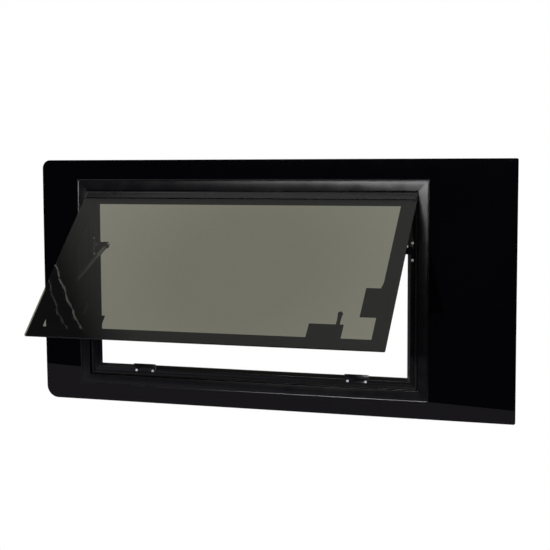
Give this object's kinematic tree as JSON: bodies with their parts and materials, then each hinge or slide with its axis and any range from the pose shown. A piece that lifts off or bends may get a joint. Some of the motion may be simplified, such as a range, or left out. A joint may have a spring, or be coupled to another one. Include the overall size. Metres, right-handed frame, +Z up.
{
  "type": "vehicle side window with top-hung sash",
  "caption": "Curved black glass side panel with a framed opening and a top-hung tinted sash on telescopic stays, shown swung open.",
  "frame": {"origin": "middle of the frame's width and of the panel's height, on the plane of the panel's inner top and bottom edges, where it is bonded to the body", "axes": "+X along the panel, to the right seen from outside; +Y into the vehicle; +Z up"},
  "size_m": [1.16, 0.3439, 0.59],
  "materials": {
    "panel_glass": "polished",
    "sash_glass": "polished",
    "frame_paint": "satin black anodised",
    "key_metal": "mill finish",
    "adhesive": "matte",
    "seal_rubber": "matte",
    "hinge_metal": "satin black anodised",
    "dark_plastic": "matte",
    "bright_steel": "bright",
    "fitting_paint": "satin black",
    "latch_plastic": "fine grain",
    "stay_tube_metal": "satin dark grey",
    "stay_rod_metal": "black oxide, satin"
  },
  "bodies": {
    "panel": {"outer_panel": "panel_glass", "frame_top": "frame_paint", "frame_bottom": "frame_paint", "frame_left": "frame_paint", "frame_right": "frame_paint", "corner_keys": "key_metal", "frame_bond": "adhesive", "seal_top": "seal_rubber", "seal_bottom": "seal_rubber", "seal_left": "seal_rubber", "seal_right": "seal_rubber", "hinge_rail": "hinge_metal", "hinge_screws": "bright_steel", "striker_left": "fitting_paint", "striker_right": "fitting_paint", "striker_screws": "bright_steel", "stay_bracket_left": "fitting_paint", "stay_bracket_right": "fitting_paint", "stay_bracket_screws": "bright_steel", "stay_studs": "bright_steel"},
    "sash": {"sash_glass": "sash_glass", "hinge_profile": "hinge_metal", "hinge_end_caps": "dark_plastic", "hinge_glazing_strip": "seal_rubber", "latch_base_left": "latch_plastic", "latch_base_right": "latch_plastic", "latch_pins": "bright_steel", "latch_washers": "bright_steel", "stay_foot_left": "fitting_paint", "stay_foot_right": "fitting_paint", "bond_pads": "adhesive"},
    "latch_left": {"latch_lever_left": "latch_plastic"},
    "latch_right": {"latch_lever_right": "latch_plastic"},
    "tube_left": {"stay_tube_left": "stay_tube_metal", "stay_gland_left": "dark_plastic"},
    "tube_right": {"stay_tube_right": "stay_tube_metal", "stay_gland_right": "dark_plastic"},
    "rod_left": {"stay_rod_left": "stay_rod_metal", "stay_piston_left": "dark_plastic", "stay_rod_pin_left": "bright_steel"},
    "rod_right": {"stay_rod_right": "stay_rod_metal", "stay_piston_right": "dark_plastic", "stay_rod_pin_right": "bright_steel"}
  },
  "joints": [
    {"name": "sash_hinge", "type": "hinge", "parent": "panel", "child": "sash", "pos_m": [0, -0.00595, 0.215], "axis": [-1, 0, 0], "range_deg": [-46.5, 0]},
    {"name": "latch_turn_left", "type": "hinge", "parent": "sash", "child": "latch_left", "pos_m": [-0.295, -0.29212, -0.06807], "axis": [0, 0.6945, -0.7195], "range_deg": [0, 90]},
    {"name": "latch_turn_right", "type": "hinge", "parent": "sash", "child": "latch_right", "pos_m": [0.295, -0.29212, -0.06807], "axis": [0, -0.6945, 0.7195], "range_deg": [0, 90]},
    {"name": "stay_swing_left", "type": "hinge", "parent": "panel", "child": "tube_left", "pos_m": [-0.366, 0.00618, 0.08795], "axis": [-1, 0, 0], "range_deg": [-66.86, 0]},
    {"name": "stay_slide_left", "type": "slide", "parent": "tube_left", "child": "rod_left", "axis": [0, -0.9194, -0.3934], "range_m": [-0.06424, 0]},
    {"name": "stay_swing_right", "type": "hinge", "parent": "panel", "child": "tube_right", "pos_m": [0.366, 0.00618, 0.08795], "axis": [-1, 0, 0], "range_deg": [-66.86, 0]},
    {"name": "stay_slide_right", "type": "slide", "parent": "tube_right", "child": "rod_right", "axis": [0, -0.9194, -0.3934], "range_m": [-0.06424, 0]}
  ],
  "couplings": [
    {"joint": "stay_swing_left", "follows": "sash_hinge", "ratio": 1.4377},
    {"joint": "stay_slide_left", "follows": "sash_hinge", "m_per_rad": 0.079142},
    {"joint": "stay_swing_right", "follows": "sash_hinge", "ratio": 1.4377},
    {"joint": "stay_slide_right", "follows": "sash_hinge", "m_per_rad": 0.079142}
  ]
}
